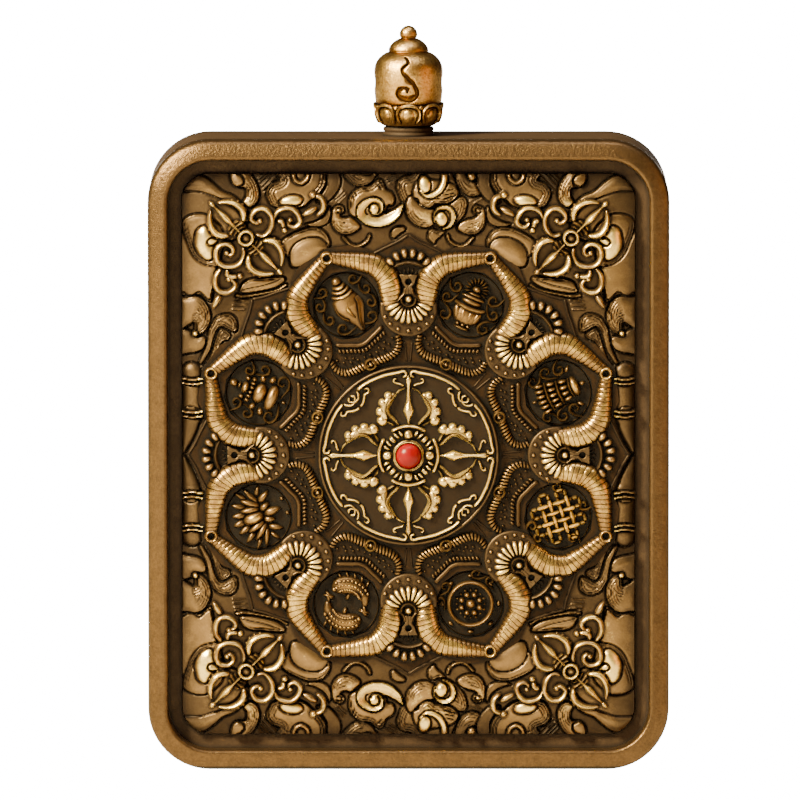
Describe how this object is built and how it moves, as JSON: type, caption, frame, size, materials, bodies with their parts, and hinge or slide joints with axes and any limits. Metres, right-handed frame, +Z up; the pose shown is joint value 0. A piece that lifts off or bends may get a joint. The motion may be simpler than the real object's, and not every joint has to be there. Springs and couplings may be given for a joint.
{
  "type": "amulet box",
  "caption": "Flat rectangular ghau amulet box in antique brass with a mandala relief front, coral bead, sliding back cover and swivelling vase finial bored for a cord.",
  "frame": {"origin": "centre of the bounding box's bottom, on the face the box stands on", "axes": "+Z up through the finial, the relief front faces -Y, +X to the viewer's right"},
  "size_m": [0.052, 0.015, 0.074],
  "materials": {
    "satin_brass": "satin",
    "relief_brass": "antiqued",
    "dark_brass": "patinated",
    "polished_brass": "polished",
    "coral": "polished"
  },
  "bodies": {
    "case": {"bead_cup": "relief_brass", "bezel_frame": "satin_brass", "case_body": "dark_brass", "conch_shell": "relief_brass", "coral_bead": "coral", "corner_vajra_bottom_left": "relief_brass", "corner_vajra_bottom_right": "relief_brass", "corner_vajra_top_left": "relief_brass", "corner_vajra_top_right": "relief_brass", "dharma_wheel": "relief_brass", "double_vajra": "relief_brass", "endless_knot": "relief_brass", "golden_fish": "relief_brass", "lobe_1": "relief_brass", "lobe_2": "relief_brass", "lobe_3": "relief_brass", "lobe_4": "relief_brass", "lobe_5": "relief_brass", "lobe_6": "relief_brass", "lobe_7": "relief_brass", "lobe_8": "relief_brass", "lotus_flower": "relief_brass", "mandala_plate": "dark_brass", "medallion": "relief_brass", "neck_collar": "dark_brass", "palmette_1": "relief_brass", "palmette_2": "relief_brass", "palmette_3": "relief_brass", "palmette_4": "relief_brass", "palmette_5": "relief_brass", "palmette_6": "relief_brass", "palmette_7": "relief_brass", "palmette_8": "relief_brass", "parasol": "relief_brass", "relief_panel": "relief_brass", "treasure_vase": "relief_brass", "victory_banner": "relief_brass"},
    "cover": {"back_cover": "satin_brass"},
    "finial": {"lotus_cup": "polished_brass", "vase_finial": "polished_brass", "swivel_pin": "dark_brass"}
  },
  "joints": [
    {"name": "cover_slide", "type": "slide", "parent": "case", "child": "cover", "axis": [0, 0, 1], "range_m": [0, 0.0625]},
    {"name": "finial_swivel", "type": "hinge", "parent": "case", "child": "finial", "pos_m": [0, 0.00143, 0.063], "axis": [0, 0, 1], "continuous": true}
  ]
}
